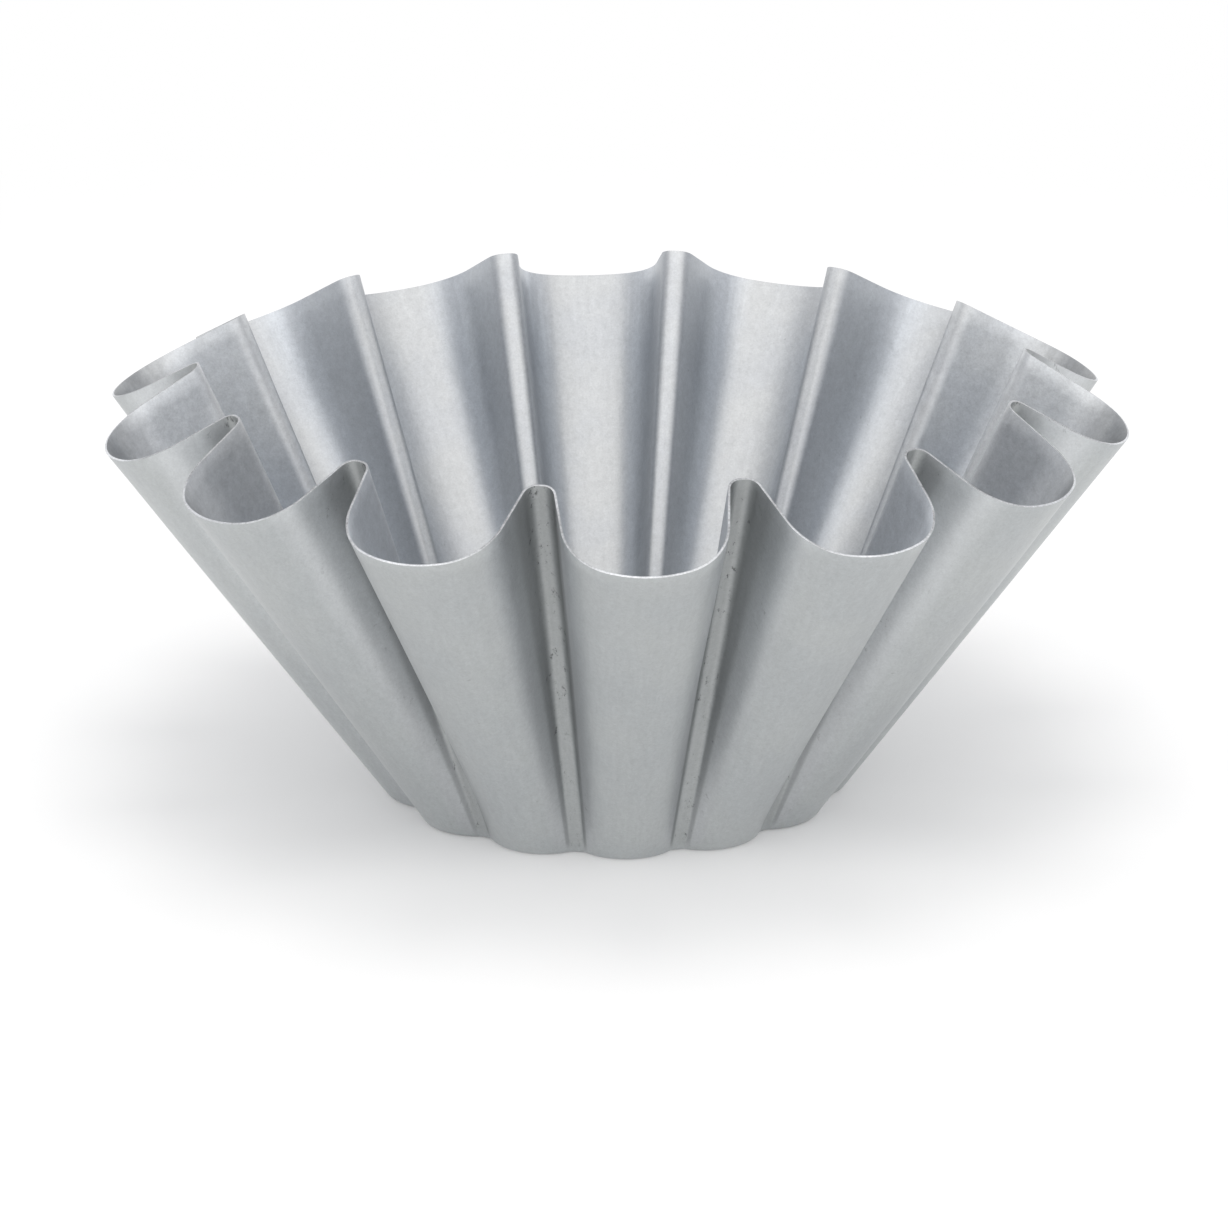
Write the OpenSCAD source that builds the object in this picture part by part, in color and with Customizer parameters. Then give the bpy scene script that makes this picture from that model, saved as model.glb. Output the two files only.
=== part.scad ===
// Fluted brioche mould: one pressed sheet of coated steel, open at the top.
// Wide round flutes and narrow inward folds alternate round a small flat base.
// The sheet is drawn in its natural regions: the base, each flute and each fold.
// Neighbouring regions meet face to face along shared edges, so together they are the one sheet.
// The origin is the middle of the underside, Z is up, and flute_01 faces the front, along -Y.

/* [Rim] */
// Width of the mould across opposite flutes, at the rim
rim_d = 220; // [190:1:240]
// How far a fold is pressed in from the width across the flutes, at the rim
fold_rim_depth = 21.2; // [17:0.2:26]
// Height of the rim in the middle of a flute
flute_rim_h = 83.2; // [60:0.2:90]
// How much higher the rim is in the middle of a fold
fold_rim_rise = 12; // [4:0.2:18]
// Width of the flat strip down the middle of a fold, with its corners, at the rim
fold_rim_w = 6.2; // [5.2:0.1:7]
// Radius of the corners beside that strip, at the rim
fold_rim_corner_r = 2.5; // [0.8:0.1:2.5]
// Angle by which each side of a fold opens outwards at the rim
fold_rim_splay = 17.6; // [12:0.2:24]
// Radius of the broad crown in the middle of a flute, at the rim
crown_r = 24; // [16:0.5:27]
// Angle that the crown turns through on each side of a flute's middle, before the tighter shoulder
crown_turn = 20; // [12:1:28]

/* [Base] */
// Width of the mould across opposite flutes, where the wall's line meets the table
base_d = 101.4; // [97:0.2:112]
// How far a fold is pressed in from the width across the flutes, at the base
fold_base_depth = 3.4; // [2.6:0.2:6]
// Width of the flat strip down the middle of a fold, with its corners, at the base
fold_base_w = 4.2; // [2.8:0.1:4.6]
// Radius of the corners beside that strip, at the base
fold_base_corner_r = 1.2; // [0.5:0.1:1.3]
// How far the turn from the flat base into the wall reaches along each of them
base_bend = 1.3; // [0.6:0.1:2]

/* [Sheet] */
// Thickness of the steel sheet
sheet = 0.5; // [0.3:0.05:0.8]
// Number of flutes, and so of folds
flute_count = 14; // [12:1:16]

/* [Hidden] */
// Angle from the middle of a flute to the middle of the next fold
half_pitch = 180 / flute_count;
// Shares of the base's arc that carry the flute's crown and its shoulder, before the fold's side
base_crown_share = 0.3;
base_shoulder_share = 0.45;

// Steps that the curves are drawn in
crown_steps = 4;
shoulder_steps = 7;
side_steps = 2;
corner_steps = 3;
bend_steps = 3;
wall_steps = 4;
// Columns of the half outline: the flute's middle is the first, the fold's middle the last
seam_column = crown_steps + shoulder_steps;
side_column = seam_column + side_steps;
last_column = side_column + corner_steps + 1;
last_level = bend_steps + wall_steps;

// Names of the regions, numbered anticlockwise from the front
function numbered(name, i) = str(name, i < 10 ? "_0" : "_", i);
flute_names = [for (i = [1 : flute_count]) numbered("flute", i)];
fold_names = [for (i = [1 : flute_count]) numbered("fold", i)];

// Flat direction at an angle clockwise from the middle of a flute
function heading(angle) = [sin(angle), cos(angle)];
function unit(v) = v / norm(v);
function mirrored(p) = [-p.x, p.y, p.z];
function lifted(p, z) = [p.x, p.y, z];
function turned(p, angle) = [
    p.x * cos(angle) - p.y * sin(angle),
    p.x * sin(angle) + p.y * cos(angle),
    p.z
];

// Centre of the small corner beside a fold's flat strip
function corner_centre(fold_r, strip_w, corner_r) =
    heading(half_pitch) * (fold_r + corner_r)
    + heading(half_pitch - 90) * (strip_w / 2 - corner_r);

// Way that the sheet's outside faces, column by column, as an angle clockwise
function facings(crown, shoulder, turn) = [
    for (s = [0 : crown_steps]) crown * s / crown_steps,
    for (s = [1 : shoulder_steps]) crown + (shoulder - crown) * s / shoulder_steps,
    for (s = [1 : side_steps]) shoulder + (turn - shoulder) * s / side_steps,
    for (s = [1 : corner_steps]) turn + (half_pitch - turn) * s / corner_steps,
    half_pitch
];

// Half outline of the sheet's outside: the flute's crown and shoulder, a side, a small corner
// and the fold's flat strip
function half_outline(flute_r, fold_r, crown_arc_r, shoulder_arc_r, facing, corner, corner_r) =
    let (
        crown_centre = [0, flute_r - crown_arc_r],
        shoulder_centre = crown_centre + heading(facing[crown_steps]) * (crown_arc_r - shoulder_arc_r),
        turn = facing[side_column],
        side = corner - heading(turn) * corner_r - shoulder_centre - heading(turn) * shoulder_arc_r
    )
    [
        for (s = [0 : crown_steps])
            crown_centre + heading(facing[s]) * crown_arc_r,
        for (s = [1 : shoulder_steps])
            shoulder_centre + heading(facing[crown_steps + s]) * shoulder_arc_r,
        for (s = [1 : side_steps])
            shoulder_centre + heading(facing[seam_column + s]) * shoulder_arc_r + side * s / side_steps,
        for (s = [1 : corner_steps])
            corner - heading(facing[side_column + s]) * corner_r,
        heading(half_pitch) * fold_r
    ];

// Rim outline: the sides are straight, and they open by the splay. The shoulder's radius is
// what makes it meet both the crown and the side smoothly.
rim_turn = 90 + half_pitch - fold_rim_splay;
rim_fold_r = rim_d / 2 - fold_rim_depth;
rim_corner = corner_centre(rim_fold_r, fold_rim_w, fold_rim_corner_r);
rim_side_end = rim_corner - heading(rim_turn) * fold_rim_corner_r;
rim_crown_centre = [0, rim_d / 2 - crown_r];
shoulder_turn = rim_turn - crown_turn;
rim_shoulder_r = (
    (rim_side_end - rim_crown_centre) * heading(rim_turn) - crown_r * cos(shoulder_turn)
) / (1 - cos(shoulder_turn));
rim_outline = half_outline(
    rim_d / 2, rim_fold_r, crown_r, rim_shoulder_r, facings(crown_turn, rim_turn, rim_turn),
    rim_corner, fold_rim_corner_r
);

// Base outline: the flute is one arc, which runs straight into the fold's corner
base_fold_r = base_d / 2 - fold_base_depth;
base_corner = corner_centre(base_fold_r, fold_base_w, fold_base_corner_r);
base_corner_drop = base_d / 2 - base_corner.y;
base_arc_r = (base_corner.x ^ 2 + base_corner_drop ^ 2 - fold_base_corner_r ^ 2)
    / (2 * (base_corner_drop + fold_base_corner_r));
base_turn = atan2(base_corner.x, base_arc_r - base_corner_drop);
base_shoulder_turn = base_turn * (base_crown_share + base_shoulder_share);
base_facings = facings(base_turn * base_crown_share, base_shoulder_turn, base_turn);
base_outline = half_outline(
    base_d / 2, base_fold_r, base_arc_r, base_arc_r, base_facings, base_corner,
    fold_base_corner_r
);

// The rim lies on a shallow cone: it dips at the flutes and rises at the folds
rim_rise_slope = fold_rim_rise / fold_rim_depth;
function rim_z(p) = flute_rim_h + rim_rise_slope * (rim_d / 2 - norm(p));

// Ends of each column: where the base stops being flat, where the wall's line would land, the rim
feet = [
    for (c = [0 : last_column])
        lifted(base_outline[c] - heading(base_facings[c]) * base_bend, 0)
];
landings = [for (p = base_outline) lifted(p, 0)];
rims = [for (p = rim_outline) lifted(p, rim_z(p))];

// A point on the outside of the sheet: first round the bend, then straight up the wall
function bend_point(foot, landing, wall_start, t) =
    foot * (1 - t) ^ 2 + landing * 2 * t * (1 - t) + wall_start * t ^ 2;

function column_point(c, level) =
    let (wall_start = landings[c] + unit(rims[c] - landings[c]) * base_bend)
    level <= bend_steps
        ? bend_point(feet[c], landings[c], wall_start, level / bend_steps)
        : wall_start + (rims[c] - wall_start) * (level - bend_steps) / wall_steps;

// The same with one more column past each end, from the other half of the flute or the fold
function outside(c, level) =
    c < 0 ? mirrored(column_point(-c, level))
    : c > last_column
        ? turned(mirrored(turned(column_point(2 * last_column - c, level), half_pitch)), -half_pitch)
        : column_point(c, level);

// Direction from the outside of the sheet to its inside, square to the sheet
function inwards(c, level) =
    level == 0
        ? [0, 0, 1]
        : unit(cross(
            outside(c + 1, level) - outside(c - 1, level),
            outside(c, min(level + 1, last_level)) - outside(c, level - 1)
        ));

// Half of the sheet's two faces, as columns of points from the base up to the rim
outer_half = [for (c = [0 : last_column]) [for (k = [0 : last_level]) outside(c, k)]];
inner_half = [
    for (c = [0 : last_column])
        [for (k = [0 : last_level]) outer_half[c][k] + inwards(c, k) * sheet]
];

// A flute's columns from side to side, and a fold's, each with its middle on +Y
function flute_columns(half) = [
    for (c = [-seam_column : seam_column])
        [for (p = half[abs(c)]) c < 0 ? mirrored(p) : p]
];
function fold_columns(half) = [
    for (c = [seam_column : 2 * last_column - seam_column])
        let (own_half = c <= last_column)
        [
            for (p = half[own_half ? c : 2 * last_column - c])
                let (q = turned(p, half_pitch))
                own_half ? q : mirrored(q)
        ]
];

// Solid stretch of the sheet between two grids of columns
module stretch(outer, inner) {
    levels = len(outer[0]);
    columns = len(outer);
    shift = columns * levels;
    function at(c, k) = c * levels + k;
    function halves(a, b, c, d) = [[a, b, c], [a, c, d]];
    outer_faces = [
        for (c = [0 : columns - 2], k = [0 : levels - 2])
            each halves(at(c, k), at(c + 1, k), at(c + 1, k + 1), at(c, k + 1))
    ];
    inner_faces = [for (f = outer_faces) [f[2] + shift, f[1] + shift, f[0] + shift]];
    foot_faces = [
        for (c = [0 : columns - 2])
            each halves(at(c, 0) + shift, at(c + 1, 0) + shift, at(c + 1, 0), at(c, 0))
    ];
    rim_faces = [
        for (c = [0 : columns - 2], top = [levels - 1])
            each halves(at(c, top), at(c + 1, top), at(c + 1, top) + shift, at(c, top) + shift)
    ];
    first_faces = [
        for (k = [0 : levels - 2])
            each halves(at(0, k) + shift, at(0, k), at(0, k + 1), at(0, k + 1) + shift)
    ];
    last_faces = [
        for (k = [0 : levels - 2], end = [columns - 1])
            each halves(at(end, k) + shift, at(end, k + 1) + shift, at(end, k + 1), at(end, k))
    ];
    polyhedron(
        points = [each each outer, each each inner],
        faces = concat(outer_faces, inner_faces, foot_faces, rim_faces, first_faces, last_faces)
    );
}

// Flat bottom of the mould, up to where the sheet starts to turn into the wall
module base() {
    flat_half = [for (p = feet) [p.x, p.y]];
    period = [
        for (c = [1 - last_column : last_column])
            let (p = flat_half[abs(c)])
            c < 0 ? [-p.x, p.y] : p
    ];
    color("silver") linear_extrude(sheet) polygon([
        for (i = [0 : flute_count - 1], p = period)
            let (q = turned([p.x, p.y, 0], 180 - i * 2 * half_pitch))
            [q.x, q.y]
    ]);
}

// One round flute of the wall, open towards the inside
module flute(i) {
    color("gainsboro") rotate(180 + (i - 1) * 2 * half_pitch)
        stretch(flute_columns(outer_half), flute_columns(inner_half));
}

// One narrow fold of the wall, pressed inwards, with its two sides
module fold(i) {
    color("lightsteelblue") rotate(180 + (2 * i - 1) * half_pitch)
        stretch(fold_columns(outer_half), fold_columns(inner_half));
}

base();
for (i = [1 : flute_count]) {
    flute(i);
    fold(i);
}
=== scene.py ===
# %% [markdown]
# A fluted brioche mould, pressed from one thin sheet of coated steel.
#
# The real one starts as a flat round blank. A press pushes it into a flat base,
# fourteen wide round flutes and fourteen narrow folds that take up the spare sheet.
# Nothing is welded, rolled or riveted, so here it is one unbroken piece too.
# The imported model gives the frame: every length below is in metres, the origin is
# the middle of the underside, Z is up, and one flute faces the viewer along -Y.

# %% Load the frame
import math

import bmesh
import bpy
from mathutils import Matrix, Vector


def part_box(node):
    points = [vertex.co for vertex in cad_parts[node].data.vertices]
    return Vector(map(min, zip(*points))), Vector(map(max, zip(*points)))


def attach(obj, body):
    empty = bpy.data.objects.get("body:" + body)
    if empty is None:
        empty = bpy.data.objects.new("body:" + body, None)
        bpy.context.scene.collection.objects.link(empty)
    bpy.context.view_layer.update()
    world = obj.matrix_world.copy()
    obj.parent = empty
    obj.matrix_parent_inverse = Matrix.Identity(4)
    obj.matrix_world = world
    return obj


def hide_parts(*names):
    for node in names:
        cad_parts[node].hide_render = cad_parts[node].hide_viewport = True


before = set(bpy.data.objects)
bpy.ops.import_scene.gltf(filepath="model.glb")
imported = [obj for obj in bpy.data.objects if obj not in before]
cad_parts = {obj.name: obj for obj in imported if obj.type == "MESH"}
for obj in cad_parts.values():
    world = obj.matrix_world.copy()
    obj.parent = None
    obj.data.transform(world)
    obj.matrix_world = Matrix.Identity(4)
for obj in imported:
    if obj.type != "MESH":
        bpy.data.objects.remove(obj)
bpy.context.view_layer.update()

# %% [markdown]
# The sizes come first. What the frame can tell is read from it: the radius at the
# rim and the sheet's thickness. The rest are the same driving sizes that the
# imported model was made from, so the new sheet lands on the old one.

# %% Sizes of the mould
MM = 0.001
FLUTES = len([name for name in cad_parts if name.startswith("flute")])
HALF_PITCH = math.pi / FLUTES

rim_r = -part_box("flute_01")[0].y
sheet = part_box("base")[1].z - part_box("base")[0].z
flute_rim_h = 83.2 * MM
fold_rim_rise = 12 * MM
fold_rim_depth = 21.2 * MM
fold_rim_w = 6.2 * MM
fold_rim_corner_r = 2.5 * MM
fold_rim_splay = math.radians(17.6)
crown_r = 24 * MM
crown_turn = math.radians(20)
base_r = 50.7 * MM
fold_base_depth = 3.4 * MM
fold_base_w = 4.2 * MM
fold_base_corner_r = 1.2 * MM
base_bend = 1.3 * MM
print(FLUTES, "flutes; rim radius", round(rim_r / MM, 2), "mm; sheet", round(sheet / MM, 3), "mm")

# %% [markdown]
# A few helpers for working by hand without a window. One makes a single object
# selected and active, and one selects vertices, edges or faces by a test on where
# they are or which way they face, as a modeller would by clicking.


# %% Selecting by hand
def only(thing):
    bpy.ops.object.select_all(action="DESELECT")
    thing.select_set(True)
    bpy.context.view_layer.objects.active = thing
    return thing


def edit(thing):
    only(thing)
    bpy.ops.object.mode_set(mode="EDIT")


def done():
    bpy.ops.object.mode_set(mode="OBJECT")


def pick(kind, test):
    """Select the vertices, edges or faces of the edited mesh that pass the test."""
    mesh = bmesh.from_edit_mesh(bpy.context.object.data)
    bpy.ops.mesh.select_mode(type={"verts": "VERT", "edges": "EDGE", "faces": "FACE"}[kind])
    bpy.ops.mesh.select_all(action="DESELECT")
    found = [part for part in getattr(mesh, kind) if test(part)]
    for part in found:
        part.select_set(True)
    mesh.select_flush_mode()
    bmesh.update_edit_mesh(bpy.context.object.data)
    return len(found)


# %% [markdown]
# The outline of the sheet repeats: from the middle of a flute to the middle of a
# fold, and back again. So only half of one flute is drawn, the way it would be
# drawn with compasses: a broad arc for the flute's crown, a tighter one for its
# shoulder, a straight side, a small arc for the fold's corner, and a short flat
# strip. A spin turns a single point into an arc, and an extrude pulls it into a line.

# %% Steps of the drawing
CROWN_STEPS = 8
SHOULDER_STEPS = 12
SIDE_STEPS = 5
CORNER_STEPS = 6
STRIP_STEPS = 2
all_steps = CROWN_STEPS + SHOULDER_STEPS + SIDE_STEPS + CORNER_STEPS + STRIP_STEPS
print("half an outline will have", all_steps, "edges")


def heading(angle):
    """Flat direction at an angle anticlockwise from the middle of the flute."""
    return Vector((math.sin(angle), -math.cos(angle), 0))


def corner_centre(fold_r, strip_w, corner_r):
    across = heading(HALF_PITCH - math.pi / 2)
    return heading(HALF_PITCH) * (fold_r + corner_r) + across * (strip_w / 2 - corner_r)


def sweep(angle, centre, steps):
    """Swing the last point anticlockwise round a centre, leaving an arc of edges."""
    bpy.ops.mesh.spin(steps=steps, angle=-angle, center=centre, axis=(0, 0, 1))


def pull(way, steps):
    """Pull the last point along a straight line."""
    for _ in range(steps):
        bpy.ops.mesh.extrude_region_move(TRANSFORM_OT_translate={"value": way / steps})


def draw_half(name, flute_r, arcs, side, corner, corner_turn, fold_r):
    """Half an outline, from the flute's middle to the fold's middle."""
    bpy.ops.object.select_all(action="DESELECT")
    bpy.ops.mesh.primitive_plane_add(size=MM, location=(0, 0, 0))
    half = bpy.context.object
    half.name = name
    edit(half)
    bpy.ops.mesh.select_all(action="SELECT")
    bpy.ops.mesh.merge(type="CENTER")
    bpy.ops.transform.translate(value=(0, -flute_r, 0))
    for angle, centre, steps in arcs:
        sweep(angle, centre, steps)
    if side:
        pull(side, SIDE_STEPS)
    sweep(-corner_turn, corner, CORNER_STEPS)
    last = [v for v in bmesh.from_edit_mesh(half.data).verts if v.select][0].co
    pull(heading(HALF_PITCH) * fold_r - last, STRIP_STEPS)
    done()
    return half


# %% [markdown]
# At the rim the fold is deep, so its sides are straight and open only a little.
# The flute's shoulder has to meet both its crown and such a side smoothly, and that
# fixes the shoulder's radius. The rim also rises towards the folds, because the
# sheet there leans out less. Each point is lifted to its height.

# %% Half outline at the rim
rim_turn = math.pi / 2 + HALF_PITCH - fold_rim_splay
rim_fold_r = rim_r - fold_rim_depth
rim_corner = corner_centre(rim_fold_r, fold_rim_w, fold_rim_corner_r)
side_end = rim_corner - heading(rim_turn) * fold_rim_corner_r
crown_centre = heading(0) * (rim_r - crown_r)
shoulder_turn = rim_turn - crown_turn
shoulder_r = (side_end - crown_centre).dot(heading(rim_turn)) - crown_r * math.cos(shoulder_turn)
shoulder_r /= 1 - math.cos(shoulder_turn)
shoulder_centre = crown_centre + heading(crown_turn) * (crown_r - shoulder_r)
side = side_end - shoulder_centre - heading(rim_turn) * shoulder_r
rim_half = draw_half(
    "rim_half", rim_r,
    [(crown_turn, crown_centre, CROWN_STEPS), (shoulder_turn, shoulder_centre, SHOULDER_STEPS)],
    side, rim_corner, rim_turn - HALF_PITCH, rim_fold_r,
)
rise_slope = fold_rim_rise / fold_rim_depth
edit(rim_half)
for number in range(len(rim_half.data.vertices)):
    pick("verts", lambda v: v.index == number)
    points = bmesh.from_edit_mesh(rim_half.data).verts
    points.ensure_lookup_table()
    lift = flute_rim_h + rise_slope * (rim_r - points[number].co.length)
    bpy.ops.transform.translate(value=(0, 0, lift))
done()
print("shoulder's radius at the rim", round(shoulder_r / MM, 2), "mm, side",
      round(side.length / MM, 2), "mm long")

# %% [markdown]
# At the base the folds are shallow, and the flute's one arc runs straight into the
# fold's corner. Its parts have as many points as the crown, the shoulder and the
# side above, so that the two outlines can be joined point to point.

# %% Half outline at the base
base_shares = [(0.3, CROWN_STEPS), (0.45, SHOULDER_STEPS), (0.25, SIDE_STEPS)]
base_fold_r = base_r - fold_base_depth
base_corner = corner_centre(base_fold_r, fold_base_w, fold_base_corner_r)
drop = base_r + base_corner.y
base_arc_r = base_corner.x**2 + drop**2 - fold_base_corner_r**2
base_arc_r /= 2 * (drop + fold_base_corner_r)
base_turn = math.atan2(base_corner.x, base_arc_r - drop)
base_centre = heading(0) * (base_r - base_arc_r)
base_half = draw_half(
    "base_half", base_r,
    [(base_turn * share, base_centre, steps) for share, steps in base_shares],
    None, base_corner, base_turn - HALF_PITCH, base_fold_r,
)
print("flute's radius at the base", round(base_arc_r / MM, 2), "mm; points",
      len(rim_half.data.vertices), "and", len(base_half.data.vertices))

# %% [markdown]
# Two outlines with the same number of points make a wall when they are bridged:
# each point at the base is joined by a straight line to its partner at the rim,
# which is just how the real wall runs. Cuts across those lines give the bend, the
# dents and the shading something to work with.

# %% Half a flute's wall
WALL_CUTS = 26

only(rim_half)
base_half.select_set(True)
bpy.ops.object.join()
wall = bpy.context.object
wall.name = "pressed_sheet"
edit(wall)
bpy.ops.mesh.select_mode(type="EDGE")
bpy.ops.mesh.select_all(action="SELECT")
bpy.ops.mesh.bridge_edge_loops(number_cuts=WALL_CUTS, interpolation="LINEAR")
done()
print("half a flute has", len(wall.data.polygons), "faces")

# %% [markdown]
# The half is mirrored into a whole flute with half a fold on each side, and the
# flute is spun round the axis in copies. Where the copies meet, along the middle of
# each fold, their points are merged, so the wall is one surface.

# %% All the way round
MERGE = 2e-6

only(wall)
bpy.ops.object.modifier_add(type="MIRROR")
wall.modifiers[-1].merge_threshold = MERGE
bpy.ops.object.modifier_apply(modifier=wall.modifiers[-1].name)
edit(wall)
bpy.ops.mesh.select_all(action="SELECT")
bpy.ops.mesh.spin(
    steps=FLUTES, angle=math.tau, center=(0, 0, 0), axis=(0, 0, 1), dupli=True
)
bpy.ops.mesh.select_all(action="SELECT")
bpy.ops.mesh.remove_doubles(threshold=MERGE)
done()
print("the wall has", len(wall.data.polygons), "faces")

# %% [markdown]
# The open bottom is filled with one flat face, and the edge all round it is
# bevelled. That edge is where the sheet turns from the base into the wall, and a
# press leaves a small round there, never a sharp corner.

# %% Base and its bend
BEND_STEPS = 5
BASE_RING = 1.6 * MM


def on_floor(edge):
    return all(abs(v.co.z) < MERGE for v in edge.verts)


edit(wall)
pick("edges", on_floor)
bpy.ops.mesh.edge_face_add()
bpy.ops.mesh.inset(thickness=BASE_RING, use_even_offset=True)
pick("edges", lambda e: on_floor(e) and any(v.co.z > MERGE for f in e.link_faces for v in f.verts))
bpy.ops.mesh.bevel(offset=base_bend, offset_type="OFFSET", segments=BEND_STEPS, clamp_overlap=False)
bpy.ops.mesh.select_all(action="SELECT")
bpy.ops.mesh.remove_doubles(threshold=MERGE)
bpy.ops.mesh.normals_make_consistent(inside=False)
done()
print("with its base the sheet has", len(wall.data.polygons), "faces")

# %% [markdown]
# A deep pressing is never quite even: the blank slips a little, and one fold ends up
# lower than the next. A few places on the rim are nudged by less than a millimetre,
# with proportional editing, so that the sheet around them follows softly.

# %% Small unevenness of the pressing
# place round the rim in flutes (half numbers are folds), then sideways, out and up in mm
nudges = [
    (1.5, 0.1, 0.0, -0.1), (2.0, -0.3, 0.0, 0.45), (3.75, 0.0, -0.2, -0.6),
    (4.0, 0.2, -0.2, 0.3), (5.0, 0.2, 0.0, 0.2), (6.0, 0.0, 0.0, -0.2),
    (8.0, 0.1, 0.0, -0.3), (8.75, 0.2, -0.1, -0.5), (9.5, 0.1, 0.1, -0.2),
    (11.25, -0.2, 0.0, 0.35), (12.5, 0.2, 0.0, -0.25), (13.5, -0.1, 0.1, -0.5),
]
NUDGE_REACH = 24 * MM
NUDGE_GRIP = 2.5 * MM

edit(wall)
for where, sideways, out, up in nudges:
    angle = where * 2 * HALF_PITCH
    ahead, across = heading(angle), heading(angle + math.pi / 2)

    def gripped(v):
        beside = abs(v.co.dot(across)) < NUDGE_GRIP
        return beside and v.co.dot(ahead) > 0 and v.co.z > flute_rim_h - NUDGE_GRIP

    held = pick("verts", gripped)
    bpy.ops.transform.translate(
        value=(across * sideways + ahead * out) * MM + Vector((0, 0, up * MM)),
        use_proportional_edit=True, proportional_edit_falloff="SMOOTH",
        proportional_size=NUDGE_REACH,
    )
done()
print(len(nudges), "places nudged; the last one held", held, "points; top now",
      round(max(v.co.z for v in wall.data.vertices) / MM, 2), "mm")

# %% [markdown]
# So far the sheet has no thickness: it is the outside of the mould. Solidify adds
# the inside, and the strip along the rim is the cut edge of the blank. A cut edge
# is never quite sharp, so it gets a very small bevel, which also catches the light.

# %% Thickness and the cut edge
edge_round = 0.09 * MM
edge_steps = 2
SMOOTH_UNDER = math.radians(35)

only(wall)
bpy.ops.object.modifier_add(type="SOLIDIFY")
thickness = wall.modifiers[-1]
thickness.thickness = sheet
thickness.offset = -1
thickness.use_even_offset = True
thickness.use_quality_normals = True
thickness.material_offset_rim = 1
wall.data.materials.append(bpy.data.materials.new("coated_sheet"))
wall.data.materials.append(bpy.data.materials.new("cut_edge"))
bpy.ops.object.modifier_apply(modifier=thickness.name)
edit(wall)
pick("faces", lambda f: f.material_index == 1)
bpy.ops.mesh.region_to_loop()
bpy.ops.mesh.bevel(offset=edge_round, offset_type="OFFSET", segments=edge_steps, clamp_overlap=True)
done()
only(wall)
bpy.ops.object.shade_smooth_by_angle(angle=SMOOTH_UNDER)
print("finished sheet:", len(wall.data.vertices), "points,", len(wall.data.polygons), "faces")

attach(wall, "root")
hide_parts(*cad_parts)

# %% [markdown]
# The finish is a thin metal coating on steel: matt silver, with a fine grain that
# scatters a reflection, and a little cloudiness where the coating is thicker. The
# press has drawn faint lines up the wall, and the bottoms of the folds are scuffed.
# Painted shade makes the strips and corners of the folds outside darker, and the folds
# are a little rougher. All of it is worked out from the place on the mould, so it
# holds still from every side.
#
# Shader maths is easier to read as plain expressions. A small class wraps a socket,
# and the operators that act on it add the Math nodes.


# %% Shader sums as expressions
class Wire:
    """A value, colour or vector inside a material, with arithmetic."""

    def __init__(self, tree, socket):
        self.tree = tree
        self.socket = socket

    def node(self, kind, settings=None, **inputs):
        """Add a node: its type, its settings, then the values or links of its sockets."""
        made = self.tree.nodes.new(kind)
        for name, value in (settings or {}).items():
            setattr(made, name, value)
        for name, value in inputs.items():
            key = int(name[1:]) if name[1:].isdigit() else name.replace("_", " ")
            if isinstance(value, Wire):
                self.tree.links.new(value.socket, made.inputs[key])
            else:
                made.inputs[key].default_value = value
        return made

    def out(self, made, name=0):
        return Wire(self.tree, made.outputs[name])

    def math(self, operation, *values):
        inputs = {f"i{n}": value for n, value in enumerate(values)}
        return self.out(self.node("ShaderNodeMath", {"operation": operation}, **inputs))

    def vector_math(self, operation, *values, result=0, **inputs):
        inputs.update({f"i{n}": value for n, value in enumerate(values)})
        made = self.node("ShaderNodeVectorMath", {"operation": operation}, **inputs)
        return self.out(made, result)

    def __add__(self, other):
        return self.math("ADD", self, other)

    def __radd__(self, other):
        return self.math("ADD", other, self)

    def __sub__(self, other):
        return self.math("SUBTRACT", self, other)

    def __rsub__(self, other):
        return self.math("SUBTRACT", other, self)

    def __mul__(self, other):
        return self.math("MULTIPLY", self, other)

    def __truediv__(self, other):
        return self.math("DIVIDE", self, other)

    def __neg__(self):
        return self.math("MULTIPLY", self, -1)

    def __abs__(self):
        return self.math("ABSOLUTE", self)

    def ramp(self, start, end, low=0, high=1):
        """Turn smoothly from low at start to high at end."""
        settings = {"interpolation_type": "SMOOTHSTEP"}
        inputs = {"Value": self, "From_Min": start, "From_Max": end, "To_Min": low, "To_Max": high}
        return self.out(self.node("ShaderNodeMapRange", settings, **inputs))

    def band(self, rise, fall):
        """Rise from 0 to 1 over the first range, and fall back to 0 over the second."""
        return self.ramp(*rise) * self.ramp(*fall, low=1, high=0)

    def swing(self, amount):
        """Noise about one half, as a change up and down by up to half the amount."""
        return (self - 0.5) * amount

    def parts(self):
        apart = self.node("ShaderNodeSeparateXYZ", i0=self)
        return [self.out(apart, n) for n in range(3)]

    def joined(self, x, y, z):
        return self.out(self.node("ShaderNodeCombineXYZ", i0=x, i1=y, i2=z))

    def noise(self, scale, detail=2, roughness=0.5):
        return self.out(self.node(
            "ShaderNodeTexNoise", Vector=self, Scale=scale, Detail=detail, Roughness=roughness
        ))

    def tint(self, first, second):
        """Colour between two colours, by this value as the share of the second."""
        made = self.node("ShaderNodeMix", {"data_type": "RGBA"}, i0=self, i6=first, i7=second)
        return self.out(made, 2)


def start_material(material):
    """Give a material its nodes, and return its shader and the place on the mould."""
    material.use_nodes = True
    tree = material.node_tree
    shader = tree.nodes["Principled BSDF"]
    place = Wire(tree, tree.nodes.new("ShaderNodeTexCoord").outputs["Object"])
    return shader, place


def feed(shader, name, wire):
    wire.tree.links.new(wire.socket, shader.inputs[name])


# %% [markdown]
# Two measures say where a point is on the mould, besides its height. The turn runs
# from 0 in the middle of each flute to 1 in the middle of each fold. The side is 1
# outside and 0 inside, from the way the surface faces.

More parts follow.
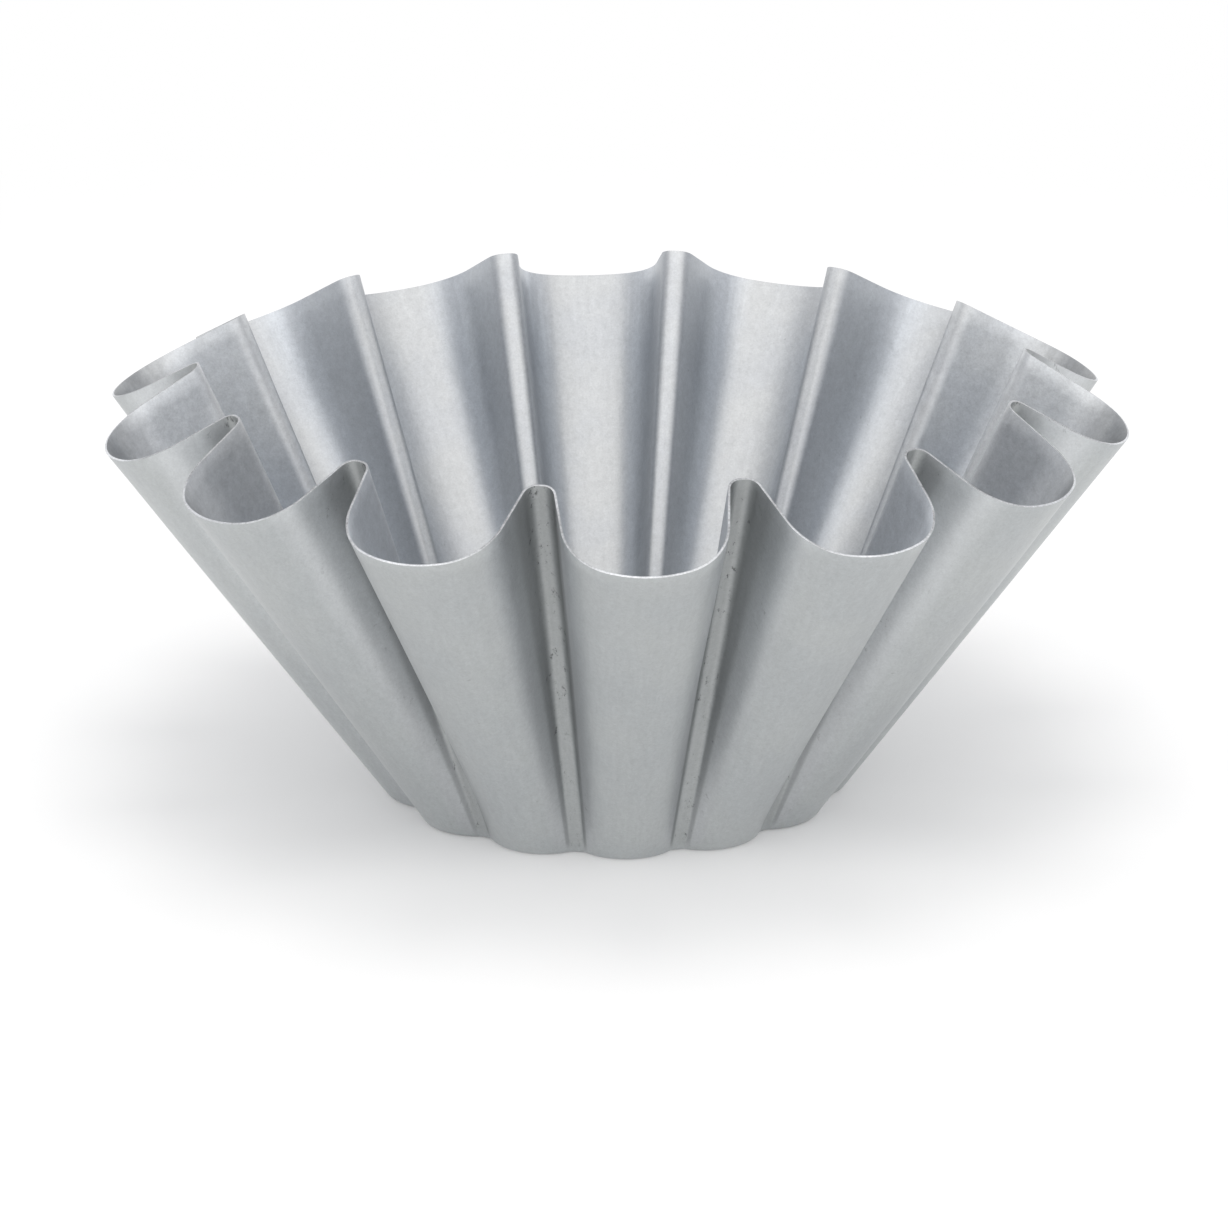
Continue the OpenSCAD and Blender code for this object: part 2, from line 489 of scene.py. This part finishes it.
# %% Where a point is on the mould
sheet_shader, place = start_material(wall.data.materials[0])
x, y, z = place.parts()
reach = place.math("SQRT", x * x + y * y)
angle = place.math("ARCTAN2", x, -y)
turn = abs(place.math("WRAP", angle / (2 * HALF_PITCH), 0.5, -0.5)) * 2
facing = Wire(place.tree, place.tree.nodes.new("ShaderNodeNewGeometry").outputs["Normal"])
radial = place.joined(x / reach, y / reach, 0)
outside = place.vector_math("DOT_PRODUCT", facing, radial, result=1).ramp(-0.15, 0.15)
inside = 1 - outside
print("place on the mould found with", len(place.tree.nodes), "nodes")

# %% [markdown]
# Ramps of those measures, multiplied together, mark out zones that shade or wear in
# their own way. Outside there are a fold's flat strip, its two corners and the flanks
# beside it. Inside, the same fold stands up as a ridge with a foot on each side. The
# pairs of numbers below are places on the turn, so each zone is as wide a share of a
# flute at the base as it is at the rim.
#
# The last three lines mark the left and right sides of the mould, all but its front,
# and the top of its wall, because the light in the photo differs there.

# %% Zones of the wall
on_wall = z.ramp(0.5 * MM, 4 * MM)
wall_outside = outside * on_wall
wall_inside = inside * on_wall

corner = turn.band((0.78, 0.82), (0.84, 0.88)) * wall_outside
flank = turn.band((0.52, 0.74), (0.77, 0.82)) * wall_outside
strip = turn.ramp(0.82, 0.88) * wall_outside
in_fold = turn.ramp(0.55, 0.85) * wall_outside

ridge = turn.ramp(0.88, 1.0) * wall_inside
ridge_foot = turn.band((0.66, 0.82), (0.84, 0.96)) * wall_inside
inner_flank = turn.band((0.30, 0.60), (0.80, 0.95)) * wall_inside
lit_flank = turn.band((0.58, 0.78), (0.80, 0.95)) * wall_inside
inner_crown = turn.ramp(0.48, 0.70, low=1, high=0) * inside

side_wall = abs(x / reach).ramp(0.70, 0.95) * on_wall
rear = y.ramp(-50 * MM, -20 * MM)
near_rim = z.ramp(50 * MM, 80 * MM)
print("zones marked out; the tree has", len(place.tree.nodes), "nodes")

# %% [markdown]
# Noise at several sizes gives the metal its texture. Its scale is the number of cells
# in a metre, so the grain mixes cells of half a millimetre and one millimetre, the
# sand's are about two and a half, and the clouds' are nearly two centimetres. Noise
# that is stretched up the wall makes drawn lines, and softer streaks where the press
# rubbed the sheet near the rim.

# %% Grain, lines and marks
fine_grain = place.noise(2300, detail=3, roughness=0.7)
coarse_grain = place.noise(900, detail=2, roughness=0.6)
grain = fine_grain * 0.6 + coarse_grain * 0.4
sand = place.noise(420, detail=4, roughness=0.75)
cloud = place.noise(55, detail=4, roughness=0.6)
drawn = place.joined(angle * 0.08, reach * 0.25, z * 0.03)
lines = drawn.noise(900, detail=3, roughness=0.7)
streaks = place.joined(angle * 0.5, 0, z * 0.05).noise(90, detail=3, roughness=0.6)
pressed = inside * z.ramp(60 * MM, 80 * MM) * turn.band((0.30, 0.42), (0.55, 0.72))
pressed = pressed * streaks.ramp(0.40, 0.68)

scuffs = place.joined(x, y, z * 0.4).noise(520, detail=5, roughness=0.8)
specks = place.noise(700, detail=1)
marks = scuffs.ramp(0.57, 0.64) * strip + scuffs.ramp(0.62, 0.68) * in_fold
marks = marks + specks.ramp(0.79, 0.83) * 0.5
print("textures drawn; the tree has", len(place.tree.nodes), "nodes")

# %% [markdown]
# The lightness starts at 1 and is changed step by step, a line for each thing that
# makes a place lighter or darker. Some of these stand for reflections of the real
# room that the simple studio here doesn't have, such as the pale flanks and darker
# crowns at the two sides. They were set from one photo.

# %% How light each place is
# Amounts of painted light and shade for the zones, changing with height and side; sand_amount sets
# the strength of the sand grain.
painted_flank_light = z.ramp(20 * MM, 75 * MM, low=0.02, high=0.26)
corner_shade = z.ramp(30 * MM, 80 * MM, low=0.26, high=0.04)
strip_shade = 0.04 + z * 1.7
low_shade = z.ramp(0, 70 * MM, low=0.12, high=0)
painted_side_light = rear * (0.12 + near_rim * 0.24)
side_shade = 0.06 + near_rim * 0.24
sand_amount = 0.22 + side_wall * near_rim * 0.22

lightness = 1 + grain.swing(0.62 - outside * 0.10) + cloud.swing(0.11) + lines.swing(on_wall * 0.14)
# Painted light: the outer flanks beside the folds are lightened, most near the rim.
lightness = lightness * (1 + flank * painted_flank_light)
# Painted shade: the corners of the folds outside are darkened, most low on the wall.
lightness = lightness * (1 - corner * corner_shade)
# Painted shade: the flat strips of the folds outside are darkened towards the rim.
lightness = lightness * (1 - strip * strip_shade)
# Painted light and shade inside: the inside is lifted a little and darkened low down, with a
# painted highlight along each ridge and painted shade at each ridge's foot.
lightness = lightness * (1 + inside * (0.01 - low_shade) + ridge * 0.20 - ridge_foot * 0.10)
# Painted light: the inner flanks are lifted a little, and the lit flanks at the sides get a painted
# reflection towards the back and the rim.
lightness = lightness * (1 + inner_flank * 0.05 + lit_flank * side_wall * painted_side_light)
# Painted shade: the inner crowns at the two sides are darkened towards the rim, and the inside of
# the sides is darkened towards the front.
lightness = lightness * (1 - side_wall * inner_crown * side_shade)
lightness = lightness * (1 - side_wall * inside * (1 - rear) * 0.12)
lightness = lightness * (1 + sand.swing(wall_inside * sand_amount))
lightness = lightness * (1 + pressed * 0.13)
# Painted shade: the outside is darkened towards the rim. The marks are scuffs and specks.
lightness = lightness * (1 - outside * z * 0.9) * (1 - marks * 0.35)
print("lightness worked out; the tree has", len(place.tree.nodes), "nodes")

# %% [markdown]
# The metal is nearly neutral. Painted shade tints it a little bluer in the flanks
# beside the folds and a little darker in the strips. It is rougher in the folds and on
# the ridges, which softens what they mirror. The bump is far too shallow to be seen
# as a shape. It only breaks up the reflections.

# %% Coated sheet
COOL = (0.538, 0.552, 0.568, 1)
NEUTRAL = (0.560, 0.570, 0.575, 1)
OUTER = (0.535, 0.566, 0.566, 1)
SHADED_STRIP = (0.530, 0.548, 0.548, 1)
SHADED = (0.544, 0.560, 0.571, 1)
SHADED_INSIDE = (0.526, 0.550, 0.580, 1)
MATT = 0.43
BUMP_HEIGHT = 0.14 * MM

colour = cloud.ramp(0.35, 0.65).tint(COOL, NEUTRAL)
colour = (outside * 0.5).tint(colour, OUTER)
# Painted shade: the strips are tinted a little darker.
colour = (strip * 0.8).tint(colour, SHADED_STRIP)
# Painted shade: bluish tints in the outer flanks and corners, and in the inner flanks except near
# the rim at the sides.
colour = (flank + corner).tint(colour, SHADED)
colour = (inner_flank * (1 - side_wall * near_rim * 0.8)).tint(colour, SHADED_INSIDE)
feed(sheet_shader, "Base Color", place.vector_math("SCALE", colour, Scale=lightness))

rough = MATT - inside * 0.04 + cloud.swing(0.10) + grain.swing(0.20)
rough = rough + in_fold * 0.04 + (ridge + ridge_foot) * 0.08
feed(sheet_shader, "Roughness", rough)
sheet_shader.inputs["Metallic"].default_value = 1

relief = grain * (0.6 + inside * 0.35) + lines * on_wall * 0.35 + cloud * 1.5
bump = place.node("ShaderNodeBump", Strength=0.35, Distance=BUMP_HEIGHT, Height=relief)
feed(sheet_shader, "Normal", place.out(bump, "Normal"))
print("coating finished with", len(place.tree.nodes), "nodes")

# %% [markdown]
# The edge was sheared through, so bare bright steel shows there, with a fine broken
# burr that sparkles in places and is dull in others. Painted light makes it brightest
# along the low parts of the rim, in the flutes, and painted shade makes it darker at
# the back, as in the photo.

# %% Cut edge
STEEL = (0.98, 1.0, 1.02)
EDGE_BRIGHT = 0.52
BURR_HEIGHT = 0.08 * MM

edge_shader, place = start_material(wall.data.materials[1])
x, y, z = place.parts()
burr = place.noise(1500, detail=3, roughness=0.7)
patches = place.noise(130, detail=2)
# Painted light: the edge is lighter where the rim is low, in the flutes.
painted_rim_light = z.ramp(flute_rim_h, flute_rim_h + 4 * MM, low=0.22, high=0)
bright = EDGE_BRIGHT + painted_rim_light + burr.swing(0.8) + patches.swing(0.5)
# Painted shade: the edge darkens towards the back.
bright = bright * y.ramp(0, 60 * MM, low=1, high=0.55)
feed(edge_shader, "Base Color", place.vector_math("SCALE", STEEL, Scale=bright))
feed(edge_shader, "Roughness", 0.42 + burr.swing(0.3))
edge_shader.inputs["Metallic"].default_value = 1
bump = place.node("ShaderNodeBump", Strength=0.5, Distance=BURR_HEIGHT, Height=burr)
feed(edge_shader, "Normal", place.out(bump, "Normal"))
print("cut edge finished with", len(place.tree.nodes), "nodes")

# %% [markdown]
# The mould stands on a plain white sweep, as in a catalogue photo. Away from the
# mould the camera sees it as pure white paper. Close to the mould it is a real lit
# surface, which takes the mould's shadow, and the two are blended softly. The blend
# starts a little nearer in front, where the photo's shadow is faintest.
#
# The white is only for the camera's own rays and for mirrored and refracted ones. All
# other light still meets the grey surface, which gives back only what falls on it.

# %% Floor
FLOOR_SIZE = 12
FLOOR_GREY = (0.92, 0.92, 0.92, 1)
PAPER = (1, 1, 1, 1)

bpy.ops.object.select_all(action="DESELECT")
bpy.ops.mesh.primitive_plane_add(size=FLOOR_SIZE, location=(0, 0, 0))
floor = bpy.context.object
floor.name = "floor"
floor_white = bpy.data.materials.new("floor_white")
floor.data.materials.append(floor_white)
floor_shader, place = start_material(floor_white)
floor_shader.inputs["Base Color"].default_value = FLOOR_GREY
floor_shader.inputs["Roughness"].default_value = 0.85
floor_shader.inputs["Specular IOR Level"].default_value = 0.2
rays = place.node("ShaderNodeLightPath")
direct = place.math("MAXIMUM", place.out(rays, "Is Camera Ray"), place.out(rays, "Is Glossy Ray"))
direct = place.math("MAXIMUM", direct, place.out(rays, "Is Transmission Ray"))
off_centre = place.vector_math("ADD", place, (0, -30 * MM, 0))
away = place.vector_math("LENGTH", off_centre, result=1)
paper = place.out(place.node("ShaderNodeEmission", Color=PAPER, Strength=1))
lit = Wire(place.tree, floor_shader.outputs[0])
white = away.ramp(0.14, 0.55, low=0.12, high=1)
# Painted light: more paper white in front of the mould, which fades its shadow there.
front = place.parts()[1].ramp(-65 * MM, -30 * MM, low=0.30, high=0)
share = direct * (white + front * (1 - white))
mixed = place.out(place.node("ShaderNodeMixShader", i0=share, i1=lit, i2=paper))
floor_out = place.tree.nodes["Material Output"]
place.tree.links.new(mixed.socket, floor_out.inputs["Surface"])
print("floor", FLOOR_SIZE, "m wide, with", len(place.tree.nodes), "nodes")

# %% [markdown]
# Bare metal is mostly a mirror of its room, so the room comes first. One very large
# soft light hangs above, a little towards the viewer, and a wide pale backdrop stands
# behind. The flutes' middles on the far side mirror the light and look pale, and the
# flanks beside the folds mirror the dimmer room and look dark. The outside of the
# mould leans out over the floor, so it mirrors the floor. A smaller lamp straight
# above presses the shadow together under the mould. The metal doesn't mirror it, so
# it leaves no spot there.

# %% Lights
ROOM = (0.780, 0.785, 0.805, 1)
LAMP_WHITE = (1.0, 0.98, 0.945)
MIDDLE = Vector((0, 0, 50 * MM))

world = bpy.data.worlds.new("studio")
bpy.context.scene.world = world
world.use_nodes = True
background = world.node_tree.nodes["Background"]
background.inputs["Color"].default_value = ROOM
background.inputs["Strength"].default_value = 1


def softbox(name, azimuth, elevation, distance, width, height, radiance):
    """A rectangular soft light that looks at the middle of the mould."""
    bpy.ops.object.select_all(action="DESELECT")
    up = math.radians(elevation)
    way = heading(math.radians(azimuth)) * math.cos(up) + Vector((0, 0, math.sin(up)))
    bpy.ops.object.light_add(type="AREA", location=MIDDLE + way * distance)
    lamp = bpy.context.object
    lamp.name = name
    lamp.data.shape = "RECTANGLE"
    lamp.data.size = width
    lamp.data.size_y = height
    lamp.data.energy = radiance * math.pi * width * height
    lamp.data.color = LAMP_WHITE
    lamp.rotation_euler = way.to_track_quat("Z", "Y").to_euler()
    return lamp


softbox("overhead", azimuth=0, elevation=60, distance=1.5, width=3.2, height=3.0, radiance=0.58)
softbox("backdrop", azimuth=180, elevation=20, distance=2.4, width=6.0, height=1.7, radiance=0.35)
downlight = softbox(
    "downlight", azimuth=0, elevation=84, distance=1.6, width=0.6, height=0.6, radiance=4.5
)
downlight.visible_glossy = False
lamps = [thing.name for thing in bpy.context.scene.objects if thing.type == "LIGHT"]
print("lamps:", *lamps)

# %% [markdown]
# The camera's place and lens were worked out from the photo, by matching the rim and
# the foot of the wall. It looks down by about twenty degrees from a metre away, with
# a long lens, and a few degrees to one side of the front flute.

# %% Camera
FRAME_PX = 1228
focal_px = 4591.7
sensor = 36
camera_turn = math.radians(3.5912)
tilt = math.radians(19.498)
distance = 999.8 * MM
aim_up = 37.09 * MM
bpy.ops.object.select_all(action="DESELECT")
bpy.ops.object.camera_add()
camera = bpy.context.object
bpy.context.scene.camera = camera
camera.data.sensor_width = sensor
camera.data.lens = sensor * focal_px / FRAME_PX
ahead = Vector((0, math.cos(tilt), -math.sin(tilt)))
spot = Vector((0, 0, aim_up)) - ahead * distance
swivel = Matrix.Rotation(-camera_turn, 4, "Z")
camera.location = swivel @ spot
camera.rotation_euler = (swivel @ ahead).to_track_quat("-Z", "Y").to_euler()
camera.data.clip_start = 0.01
camera.data.clip_end = 50
print("camera at", tuple(round(c, 4) for c in camera.location), "lens", round(camera.data.lens, 1))

scene = bpy.context.scene
scene.view_settings.view_transform = "Standard"
